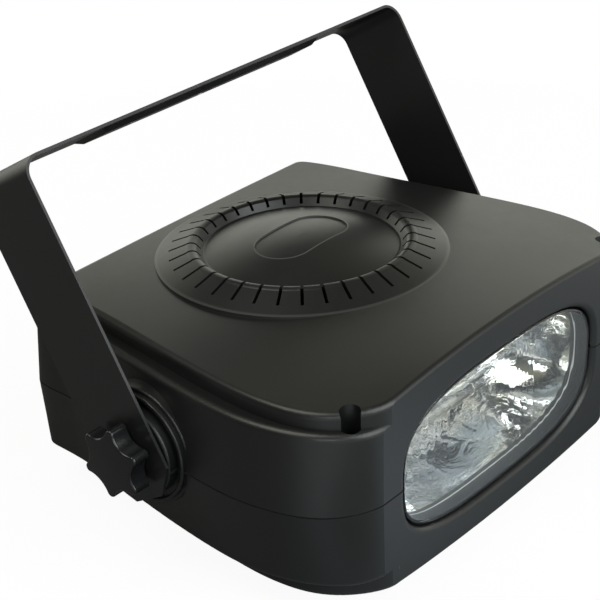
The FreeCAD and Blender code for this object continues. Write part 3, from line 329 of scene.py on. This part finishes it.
class StageLook(bpy.types.PropertyGroup):
    azimuth: FloatProperty(name="Azimuth", description="Camera's turn round the object",
                           default=math.radians(-49.3), subtype="ANGLE")
    elevation: FloatProperty(name="Elevation", description="Camera's height over the horizon",
                             default=math.radians(27.5), subtype="ANGLE")
    roll: FloatProperty(name="Roll", description="Camera's lean",
                        default=math.radians(-2.0), subtype="ANGLE")
    lens: FloatProperty(name="Lens", description="Focal length in millimetres", default=102.0)
    spot: FloatVectorProperty(name="Camera place", description="Where the camera stands",
                              default=(-0.5871, -0.4916, 0.4832), subtype="TRANSLATION", unit="LENGTH")
    floor: colour_prop("Floor", "Colour of the floor", (0.90, 0.90, 0.90))
    shaded: colour_prop("Floor's bounce", "Colour of the floor as the object sees it", (0.16, 0.16, 0.16))
    sheet: colour_prop("Sheet", "White paper before the object, as gloss shows it", (0.78, 0.91, 1.0))
    lift: share_prop("Lift", "Share of plain white in the floor round the object", 0.94)
    horizon: colour_prop("Horizon", "Studio wall near the horizon", (1.0, 1.0, 0.90))
    window: FloatProperty(name="Window", description="Strength of the wall on the window's side",
                          default=1.4, min=0.0)
    ahead: colour_prop("Ahead", "Studio wall the window looks at", (0.95, 0.97, 0.95))
    dim: colour_prop("Dim side", "Studio wall on the side away from the window", (0.08, 0.085, 0.08))
    ceiling: colour_prop("Ceiling", "Studio overhead", (0.22, 0.215, 0.155))
    zenith: colour_prop("Zenith", "Studio straight overhead", (0.10, 0.10, 0.08))
    key: FloatProperty(name="Key lamp", description="Power of the large soft lamp", default=88.0,
                       unit="POWER")
    fill: FloatProperty(name="Fill lamp", description="Power of the small soft lamp at the left",
                        default=9.0, unit="POWER")
    top: FloatProperty(name="Top lamp", description="Power of the overhead lamp", default=26.0,
                       unit="POWER")


LOOKS = {
    "strobe_housing": HousingLook,
    "strobe_window": WindowLook,
    "strobe_reflector": ReflectorLook,
    "strobe_tube": TubeLook,
    "strobe_board": BoardLook,
    "strobe_rear": RearLook,
    "strobe_bracket": BracketLook,
    "strobe_knobs": KnobLook,
    "strobe_stage": StageLook,
}


# ------------------------------------------------------------ pieces
class Housing(bpy.types.Operator):
    """Satin black moulded shells"""
    bl_idname = "strobe.housing"
    bl_label = "Housing shells"

    def execute(self, context):
        look = context.scene.strobe_housing
        black = tuple(look.colour)
        finish = Finish("moulded_abs", black)
        flow = finish.noise(14.0, 3.0)
        cloud = finish.noise(160.0, 4.0, 0.6)
        grain = finish.noise(1.0 / look.grain, 2.0, 0.65)
        upper = finish.along(z=1.0, of="Normal").ramp(0.55, 0.95)
        specks = finish.noise(800.0, 5.0, 0.7).ramp(0.63, 0.72) * upper * look.dust
        scuffs = finish.noise(90.0, 5.0, 0.75, (1.0, 0.25, 1.0)).ramp(0.62, 0.8)
        tone = finish.mix(flow, shade(black, 0.86), shade(black, 1.14))
        tone = finish.mix(specks, tone, (0.16, 0.155, 0.14))
        height = finish.along(z=1.0)
        # painted highlight: a light line round the rim of the bare recess on the dome, standing in for the
        # light on its rounded edge
        radius = look.recess_width / 2.0
        straight = look.recess_length / 2.0 - radius
        reach = (abs(finish.along(x=1.0)) - straight).most(0.0)
        across = finish.along(y=1.0) - VENT_RING_Y
        outside = (reach * reach + across * across) ** 0.5 - radius
        painted_rim_highlight = (1.0 - abs(outside - 0.0002).ramp(0.0002, 0.0006)) * height.above(RECESS_Z)
        tone = finish.mix(painted_rim_highlight * 0.8, tone, (0.075, 0.075, 0.068))
        # painted highlight: a light line along the edge of the vent ring's foot
        radial = finish.away((0.0, VENT_RING_Y, 0.0), (1.0, 1.0, 0.0))
        foot = (1.0 - abs(radial - VENT_FOOT_R).ramp(0.0003, 0.0012)) * height.above(VENT_FOOT_Z)
        tone = finish.mix(foot * 0.6, tone, (0.045, 0.046, 0.043))
        # painted shade: the shadow line between the shells is drawn darker, standing in for the shade in the
        # gap
        joint = 1.0 - abs(height - JOINT_Z).ramp(0.0004, 0.0007)
        finish.set("Base Color", finish.mix(joint, tone, shade(black, 0.2)))
        finish.set("Roughness", look.gloss + (flow - 0.5) * 0.05 + (cloud - 0.5) * 0.07
                   + scuffs * 0.06 + specks * 0.4 + joint * 0.5)
        finish.relief(grain + cloud * 0.5, look.grain_depth, 0.7)
        finish.wear("top_shell", "bottom_shell")
        return {"FINISHED"}


class Window(bpy.types.Operator):
    """Clear moulded lens and its foam gasket"""
    bl_idname = "strobe.window"
    bl_label = "Lens and gasket"

    def execute(self, context):
        look = context.scene.strobe_window
        finish = Finish("clear_lens", tuple(look.tint), Roughness=0.015, IOR=look.index,
                        Transmission_Weight=1.0)
        front = abs(finish.along(y=1.0, of="Normal")).ramp(0.3, 0.8)
        patches = finish.noise(14.0, 1.0).ramp(0.42, 0.62)
        ribs = (finish.along(x=1.0) * (FULL_TURN / look.rib)).wave() * patches
        rings = (finish.along(y=1.0) * (FULL_TURN / look.ring)).wave() * (1.0 - front)
        flow = finish.noise(60.0, 2.0, 0.5, (1.0, 1.0, 0.5))
        skin = finish.relief(finish.noise(22.0, 1.0) + ribs * 0.03 + rings * 0.07 + flow * 0.35, 0.0005, 0.6)
        # the side wall is drawn dark at the front and paler at its root, with a painted glint line before
        # the root
        low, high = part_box("lens")
        depth = (finish.along(y=1.0) - low.y) * (1.0 / (high.y - low.y))
        tone = finish.mix(depth.ramp(0.45, 0.9), tuple(look.wall), tuple(look.root))
        tone = finish.mix(1.0 - abs(depth - 0.78).ramp(0.01, 0.04), tone, tuple(look.glint))
        dark_wall = finish.node("ShaderNodeBsdfPrincipled", None,
                            {"Base Color": tone, "Roughness": 0.4, "Specular IOR Level": 0.25,
                             "Normal": skin})
        finish.clear(finish.mix_shaders((1.0 - front) * 0.96, finish.shaded, dark_wall), (0.93, 0.94, 0.94))
        finish.wear("lens")
        plastic("foam_gasket", tuple(look.gasket), 0.85, 2600.0, 0.00008).wear("lens_gasket")
        return {"FINISHED"}


class Reflector(bpy.types.Operator):
    """Pressed bright reflector bowl and its screws"""
    bl_idname = "strobe.reflector"
    bl_label = "Reflector"

    def execute(self, context):
        look = context.scene.strobe_reflector
        bright = tuple(look.bright)
        finish = Finish("bright_bowl", bright, Metallic=1.0)
        waves = finish.noise(28.0, 1.0, 0.4, (0.7, 1.0, 1.3))
        dents = finish.node("ShaderNodeTexNoise", None,
                            {"Vector": finish.place, "Scale": 70.0, "Detail": 2.0, "Roughness": 0.5,
                             "Distortion": 1.6})
        streaks = finish.noise(1.0, 2.0, 0.6, (60.0, 900.0, 900.0))
        haze = finish.noise(70.0, 4.0, 0.6)
        tone = finish.mix(finish.noise(19.0, 2.0).ramp(0.42, 0.6), bright, tuple(look.aged))
        finish.set("Base Color", finish.mix(haze.ramp(0.4, 0.8), tone, shade(bright, 0.8)))
        finish.set("Roughness", look.gloss + haze * 0.05)
        finish.relief(waves + dents * 0.10 + streaks * (look.streak / look.ripple), look.ripple)
        finish.wear("reflector")
        metal("zinc_screws", (0.52, 0.52, 0.50), 0.3).wear("reflector_screws", "board_screws",
                                                           "power_switch_screw")
        return {"FINISHED"}


class FlashTube(bpy.types.Operator):
    """Quartz flash tube with electrodes, trigger wire and holders"""
    bl_idname = "strobe.flash_tube"
    bl_label = "Flash tube"

    def execute(self, context):
        look = context.scene.strobe_tube
        glass = Finish("quartz_tube", tuple(look.glass), Roughness=0.01, IOR=1.46,
                       Transmission_Weight=1.0)
        glass.relief(glass.noise(60.0, 1.0), 0.0002, 0.4)
        glass.clear(glass.shaded, (0.95, 0.95, 0.95))
        glass.wear("flash_tube")
        metal("electrode_caps", tuple(look.electrode), 0.28).wear("tube_electrodes")
        metal("trigger_wire", tuple(look.wire), 0.24, 4000.0).wear("trigger_wire")
        plastic("silicone_grommets", (0.72, 0.71, 0.66), 0.5).wear("tube_grommets")
        plastic("tube_holder_ceramic", (0.74, 0.72, 0.66), 0.62, 1200.0, 0.00003).wear("tube_holders")
        return {"FINISHED"}


class Electronics(bpy.types.Operator):
    """Circuit board and the parts on it"""
    bl_idname = "strobe.electronics"
    bl_label = "Circuit board"

    def execute(self, context):
        look = context.scene.strobe_board
        mask = tuple(look.mask)
        tracks = 393.7          # tracks to the metre, one each 2.54 mm
        board = Finish("solder_mask", mask, Coat_Roughness=0.1)
        across = (board.along(x=1.0) * tracks).part()
        down = (board.along(y=1.0) * tracks).part()
        runs = board.noise(55.0, 0.0).above(0.5)
        line = abs(across - 0.5).ramp(0.16, 0.2) * (1.0 - runs) + abs(down - 0.5).ramp(0.16, 0.2) * runs
        board.set("Base Color", board.mix(line, shade(mask, 1.7), mask))
        board.set("Roughness", 0.24 + board.noise(300.0) * 0.1)
        board.set("Coat Weight", 0.4 + board.noise(80.0) * 0.2)
        board.relief(1.0 - line, 0.00003, 0.6)
        board.wear("circuit_board")
        sleeve = tuple(look.sleeve)
        cans = Finish("capacitor_sleeve", sleeve)
        stripe = cans.noise(30.0, 0.0).ramp(0.62, 0.63)
        cans.set("Base Color", cans.mix(stripe, sleeve, shade(sleeve, 2.2)))
        cans.set("Roughness", 0.22 + cans.noise(500.0) * 0.12)
        cans.relief(cans.noise(260.0, 2.0), 0.00006, 0.5)
        cans.wear("flash_capacitors")
        plastic("coil_varnish", (0.05, 0.022, 0.012), 0.3, 700.0, 0.00004).wear("trigger_coil")
        plastic("resistor_cement", (0.66, 0.63, 0.56), 0.75, 1500.0, 0.00005).wear("ballast_resistor")
        metal("extruded_sink", (0.60, 0.60, 0.61), 0.34, 900.0, (8.0, 8.0, 0.4)).wear("heat_sink")
        plastic("switch_epoxy", (0.016, 0.016, 0.016), 0.5).wear("power_switch")
        plastic("terminal_moulding", (0.02, 0.17, 0.065), 0.35).wear("terminal_block")
        return {"FINISHED"}


class RearFittings(bpy.types.Operator):
    """Rear panel, dial, fuse carrier and cord gland"""
    bl_idname = "strobe.rear_fittings"
    bl_label = "Rear fittings"

    def execute(self, context):
        look = context.scene.strobe_rear
        paint = tuple(look.panel)
        panel = Finish("panel_paint", paint)
        peel = panel.noise(1100.0, 2.0)
        cloud = panel.noise(120.0, 4.0)
        panel.set("Base Color", panel.mix(cloud, shade(paint, 0.8), shade(paint, 1.3)))
        panel.set("Roughness", 0.42 + (cloud - 0.5) * 0.14)
        panel.relief(peel, 0.00003, 0.6)
        panel.wear("rear_panel")
        black = (0.010, 0.010, 0.010)
        dial = plastic("dial_moulding", black, 0.26)
        pointer_low, pointer_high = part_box("speed_knob")
        # white line on the face of the dial's pointer
        beside = abs(dial.along(x=1.0) - (pointer_low.x + pointer_high.x) / 2.0)
        inked = (1.0 - beside.ramp(0.0007, 0.0008)) * dial.along(y=1.0).ramp(
            pointer_high.y - 0.0006, pointer_high.y - 0.0005)
        dial.set("Base Color", dial.mix(inked, black, tuple(look.print)))
        dial.wear("speed_knob")
        plastic("holder_moulding", (0.011, 0.011, 0.011), 0.3).wear("fuse_holder", "fuse_cap")
        plastic("gland_nylon", (0.013, 0.013, 0.014), 0.45).wear("cable_gland", "gland_cap", "gland_nut")
        metal("plated_nuts", (0.60, 0.60, 0.57), 0.27).wear("pot_nut", "fuse_nut", "pivot_nuts",
                                                            "right_knob_stud", "left_knob_stud")
        metal("pot_case", (0.52, 0.52, 0.50), 0.33).wear("speed_pot")
        metal("turned_shaft", (0.72, 0.72, 0.72), 0.25, 700.0, (1.0, 6.0, 1.0)).wear("pot_shaft")
        metal("fuse_ends", (0.66, 0.65, 0.62), 0.2).wear("fuse")
        return {"FINISHED"}


class DialScale(bpy.types.Operator):
    """Printed ticks and numbers round the speed dial"""
    bl_idname = "strobe.dial_scale"
    bl_label = "Dial scale"

    def execute(self, context):
        look = context.scene.strobe_rear
        low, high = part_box("speed_knob")
        centre = (low + high) / 2.0
        reach = (high.x - low.x) / 2.0
        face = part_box("rear_panel")[1].y
        ink = 0.00004               # height of the print over the panel
        span = math.radians(300.0)
        inner = reach + 0.0015      # where the ticks start
        beyond = 0.0024             # from the ticks' ends to the middles of the numbers
        short, thin = 0.55, 0.7     # length and width of a half step's tick, as shares of a full one's

        def mark(shape, angle, start, length, width):
            turn = Matrix.Translation((centre.x, 0.0, centre.z)) @ Matrix.Rotation(angle, 4, "Y")
            ring = []
            for side, out in ((-0.5, 0.0), (0.5, 0.0), (0.5, 1.0), (-0.5, 1.0)):
                ring.append((side * width, start + out * length))
            lower = [shape.verts.new(turn @ Vector((x, face, z))) for x, z in ring]
            upper = [shape.verts.new(turn @ Vector((x, face + ink, z))) for x, z in ring]
            shape.faces.new(lower)
            shape.faces.new(list(reversed(upper)))
            for i in range(4):
                j = (i + 1) % 4
                shape.faces.new((lower[i], upper[i], upper[j], lower[j]))

        def ticks(shape):
            count = (look.steps - 1) * 2
            for i in range(count + 1):
                angle = -span / 2.0 + span * i / count
                long = i % 2 == 0
                mark(shape, angle, inner, look.tick if long else look.tick * short,
                     look.line if long else look.line * thin)

        scale = piece_from("dial_scale", ticks, "housing")
        white = plastic("dial_print", tuple(look.print), 0.5, 2500.0, 0.000005)
        white.wear(scale)
        for i in range(look.steps):
            angle = -span / 2.0 + span * i / (look.steps - 1)
            text = bpy.data.curves.new("dial_number", "FONT")
            text.body = str(i)
            text.size = look.number
            text.align_x = "CENTER"
            text.align_y = "CENTER"
            text.extrude = ink / 2.0
            text.resolution_u = 3
            holder = bpy.data.objects.new("dial_number", text)
            context.scene.collection.objects.link(holder)
            flat = bpy.data.meshes.new_from_object(holder)
            bpy.data.objects.remove(holder)
            number = bpy.data.objects.new(f"dial_number_{i}", flat)
            spot = Vector((math.sin(angle), 0.0, math.cos(angle))) * (inner + look.tick + beyond)
            # upright, and read from the rear
            stand = Matrix(((-1.0, 0.0, 0.0), (0.0, 0.0, 1.0), (0.0, 1.0, 0.0)))
            flat.transform(Matrix.Translation((centre.x + spot.x, face + ink / 2.0, centre.z + spot.z))
                           @ stand.to_4x4())
            context.scene.collection.objects.link(number)
            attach(number, "housing")
            white.wear(number)
        return {"FINISHED"}


class Bracket(bpy.types.Operator):
    """Powder-painted steel bracket"""
    bl_idname = "strobe.bracket"
    bl_label = "Bracket"

    def execute(self, context):
        look = context.scene.strobe_bracket
        paint = tuple(look.paint)
        finish = Finish("bracket_paint", paint)
        peel = finish.noise(1.0 / look.peel, 2.0, 0.5)
        flow = finish.noise(20.0, 3.0)
        across = finish.along(y=math.cos(BRACKET_LEAN), z=-math.sin(BRACKET_LEAN), of="Normal")
        edge = abs(across).ramp(0.8, 0.95)      # narrow sides of the strip
        chips = finish.noise(420.0, 5.0, 0.7)
        bare = edge * chips.ramp(0.66, 0.72)
        for mount in frame["record"].get("mounts", []):
            if "hole" in mount["name"]:
                rub = 1.0 - finish.away(tuple(mount["pos_m"])).ramp(0.0062, 0.0088)
                bare = bare.most(rub * chips.ramp(0.52, 0.62) * 0.8)
        tone = finish.mix(flow, shade(paint, 0.85), shade(paint, 1.2))
        # painted highlight: the narrow sides of the strip are drawn lighter, standing in for the light their
        # edges catch
        tone = finish.mix(edge * 0.35, tone, shade(paint, 2.4))
        finish.set("Base Color", finish.mix(bare, tone, (0.36, 0.35, 0.33)))
        finish.set("Metallic", bare)
        finish.set("Roughness", look.gloss + (flow - 0.5) * 0.08 + (peel - 0.5) * 0.06)
        finish.relief(peel, look.peel_depth, 0.6)
        finish.wear("bracket")
        return {"FINISHED"}


class ClampKnobs(bpy.types.Operator):
    """Star knobs and the washers under them"""
    bl_idname = "strobe.clamp_knobs"
    bl_label = "Clamp knobs"

    def execute(self, context):
        look = context.scene.strobe_knobs
        plastic("knob_moulding", tuple(look.colour), look.gloss, 1400.0, 0.00001).wear(
            "right_star_knob", "left_star_knob")
        washers = metal("black_oxide", (0.05, 0.05, 0.052), 0.42)
        washers.set("Metallic", 0.6)
        washers.wear("right_knob_washer", "left_knob_washer")
        plastic("pressed_fibre", (0.016, 0.014, 0.012), 0.8, 900.0, 0.00005).wear("friction_washers")
        return {"FINISHED"}


class Hardware(bpy.types.Operator):
    """Housing screws and rubber feet"""
    bl_idname = "strobe.hardware"
    bl_label = "Screws and feet"

    def execute(self, context):
        metal("blackened_screws", (0.10, 0.10, 0.10), 0.36).wear("housing_screws")
        plastic("foot_rubber", (0.012, 0.012, 0.012), 0.75, 1500.0, 0.00004).wear("feet")
        return {"FINISHED"}


class Stage(bpy.types.Operator):
    """Pale floor, soft lamps, world and camera"""
    bl_idname = "strobe.stage"
    bl_label = "Studio"

    def camera(self, context, look):
        lens = bpy.data.cameras.new("camera")
        lens.lens = look.lens
        lens.sensor_width = 36.0
        lens.clip_start = 0.01
        lens.clip_end = 50.0
        camera = bpy.data.objects.new("camera", lens)
        a, e, r = look.azimuth, look.elevation, look.roll
        right = Vector((math.cos(a), math.sin(a), 0.0))
        back = Vector((math.sin(a) * math.cos(e), -math.cos(a) * math.cos(e), math.sin(e)))
        up = back.cross(right)
        columns = (right * math.cos(r) + up * math.sin(r), up * math.cos(r) - right * math.sin(r), back)
        camera.matrix_world = Matrix.Translation(look.spot) @ Matrix(columns).transposed().to_4x4()
        context.scene.collection.objects.link(camera)
        context.scene.camera = camera

    def floor(self, look):
        shape = bmesh.new()
        bmesh.ops.create_circle(shape, cap_ends=True, segments=96, radius=9.0)
        bmesh.ops.translate(shape, vec=(0.0, 0.0, -0.0002), verts=shape.verts)
        mesh = bpy.data.meshes.new("floor")
        shape.to_mesh(mesh)
        shape.free()
        floor = bpy.data.objects.new("floor", mesh)
        bpy.context.scene.collection.objects.link(floor)
        finish = Finish("paper_floor", tuple(look.floor), Roughness=0.9)
        finish.set("Specular IOR Level", 0.1)
        path = "ShaderNodeLightPath"
        camera = finish.node(path, output="Is Camera Ray")
        mirrored = finish.node(path, output="Is Glossy Ray").most(
            finish.node(path, output="Is Transmission Ray"))
        # the camera sees the floor white but for the object's shadow, and gloss sees a sheet of paper before
        # the object, duller to the right and dark where the front corner mirrors it, and white floor far off
        middle = (0.0, 0.0, 0.0)
        corner = (-0.137, -0.225, 0.0)
        far = finish.away(middle).ramp(0.2, 0.6)
        open_floor = finish.away(middle).ramp(0.24, 0.48)
        before = finish.along(y=-1.0).ramp(0.06, 0.20)
        fade = 0.78 - finish.along(x=1.0).ramp(-0.04, 0.14) * 0.52
        gap = 0.1 + finish.away(corner).ramp(0.06, 0.125) * 0.9
        seen = camera * far.most(look.lift)
        reflected = mirrored * before * (fade * gap).most(open_floor)
        finish.set("Base Color", finish.mix(camera, tuple(look.shaded), tuple(look.floor)))
        paper = finish.mix(camera.most(open_floor), tuple(look.sheet), (1.0, 1.0, 1.0))
        white = finish.node("ShaderNodeEmission", None, {"Color": paper, "Strength": 1.0})
        plug(finish.tree, finish.surface, finish.mix_shaders(seen.most(reflected), finish.shaded, white))
        floor.data.materials.append(finish.material)

    def lamp(self, name, power, spot, size, aim=(0.0, 0.0, 0.06), colour=(1.0, 1.0, 1.0)):
        light = bpy.data.lights.new(name, "AREA")
        light.energy = power
        light.shape = "RECTANGLE"
        light.size, light.size_y = size
        light.color = colour
        lamp = bpy.data.objects.new(name, light)
        bpy.context.scene.collection.objects.link(lamp)
        lamp.location = spot
        lamp.rotation_euler = (Vector(aim) - Vector(spot)).to_track_quat("-Z", "Y").to_euler()

    def world(self, context, look):
        world = bpy.data.worlds.new("studio")
        world.use_nodes = True
        tree = world.node_tree
        direction = add_node(tree, "ShaderNodeTexCoord", output="Generated")
        x, y, z = (add_node(tree, "ShaderNodeSeparateXYZ", None, {0: direction}, axis) for axis in "XYZ")
        camera = add_node(tree, "ShaderNodeLightPath", output="Is Camera Ray")
        # the wall from its dim side to the window, the wall ahead, the ceiling, and white for the camera
        window = tuple(c * look.window for c in look.horizon)
        wall = blend_colours(tree, (x * 0.75 + y * 0.5).ramp(-0.1, 0.55), tuple(look.dim), window)
        wall = blend_colours(tree, (x * 0.45 - y * 0.9).ramp(0.75, 0.95), wall, tuple(look.ahead))
        wall = blend_colours(tree, z.ramp(0.34, 0.60), wall, tuple(look.ceiling))
        wall = blend_colours(tree, z.ramp(0.65, 0.90), wall, tuple(look.zenith))
        wall = blend_colours(tree, camera, wall, (1.0, 1.0, 1.0))
        plug(tree, tree.nodes["Background"].inputs["Color"], wall)
        context.scene.world = world

    def execute(self, context):
        look = context.scene.strobe_stage
        self.camera(context, look)
        self.floor(look)
        self.world(context, look)
        self.lamp("key_lamp", look.key, (0.2, -2.4, 1.7), (2.6, 2.6), colour=(0.94, 0.98, 1.0))
        self.lamp("fill_lamp", look.fill, (-1.9, -1.2, 0.9), (0.8, 0.8), colour=(0.92, 0.97, 1.0))
        self.lamp("top_lamp", look.top, (-0.9, 0.5, 2.2), (1.5, 1.5), colour=(1.0, 0.98, 0.90))
        context.scene.view_settings.view_transform = "Standard"
        return {"FINISHED"}


OPERATORS = (Stage, Housing, Window, Reflector, FlashTube, Electronics, RearFittings, DialScale, Bracket,
             ClampKnobs, Hardware)


class StroboscopePanel(bpy.types.Panel):
    """Lists the pieces and their settings"""
    bl_idname = "VIEW3D_PT_stroboscope"
    bl_label = "Stroboscope"
    bl_space_type = "VIEW_3D"
    bl_region_type = "UI"
    bl_category = "Stroboscope"

    def draw(self, context):
        for operator in OPERATORS:
            self.layout.operator(operator.bl_idname)
        for name, group in LOOKS.items():
            box = self.layout.box()
            box.label(text=name.replace("strobe_", "").capitalize())
            for key in group.__annotations__:
                box.prop(getattr(context.scene, name), key)


def register():
    for group in LOOKS.values():
        bpy.utils.register_class(group)
    for name, group in LOOKS.items():
        setattr(bpy.types.Scene, name, PointerProperty(type=group))
    for operator in OPERATORS:
        bpy.utils.register_class(operator)
    bpy.utils.register_class(StroboscopePanel)


def unregister():
    bpy.utils.unregister_class(StroboscopePanel)
    for operator in reversed(OPERATORS):
        bpy.utils.unregister_class(operator)
    for name in LOOKS:
        delattr(bpy.types.Scene, name)
    for group in LOOKS.values():
        bpy.utils.unregister_class(group)


def main():
    register()
    for operator in OPERATORS:
        group, call = operator.bl_idname.split(".")
        getattr(getattr(bpy.ops, group), call)()


if __name__ == "__main__":
    main()
